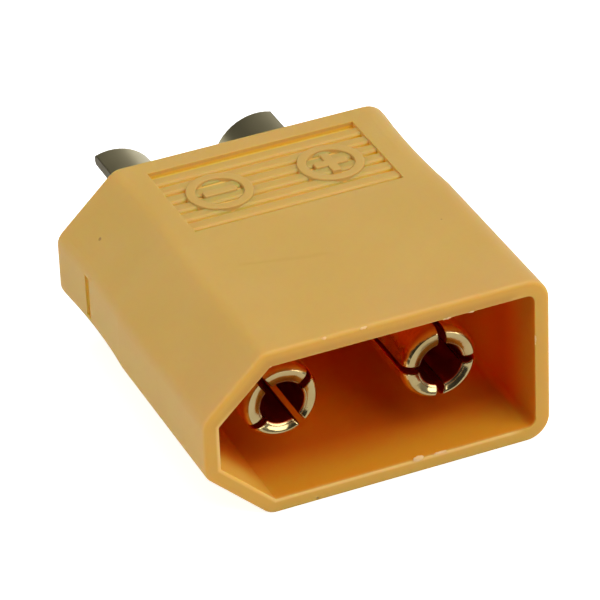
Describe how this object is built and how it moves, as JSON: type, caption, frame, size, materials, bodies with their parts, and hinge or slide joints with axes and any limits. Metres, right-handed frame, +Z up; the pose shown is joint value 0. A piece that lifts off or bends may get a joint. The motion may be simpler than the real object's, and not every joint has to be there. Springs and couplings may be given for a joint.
{
  "type": "two-pole power connector",
  "caption": "Male two-pole DC power connector: keyed amber shroud, slotted bullet contacts inside, notched solder cups behind.",
  "frame": {"origin": "bottom centre of the whole part's bounding box, on the surface that the housing's flat underside rests on", "axes": "+Y from the mating rim to the solder cups, along both contacts; +X from the chamfered side to the square side; +Z up, through the broad ribbed faces"},
  "size_m": [0.016, 0.0212, 0.0081],
  "materials": {
    "nylon": "satin moulded nylon",
    "gold_plate": "thin pale gold plate on turned brass"
  },
  "bodies": {
    "root": {"housing": "nylon", "contact_positive": "gold_plate", "contact_negative": "gold_plate"}
  },
  "joints": []
}
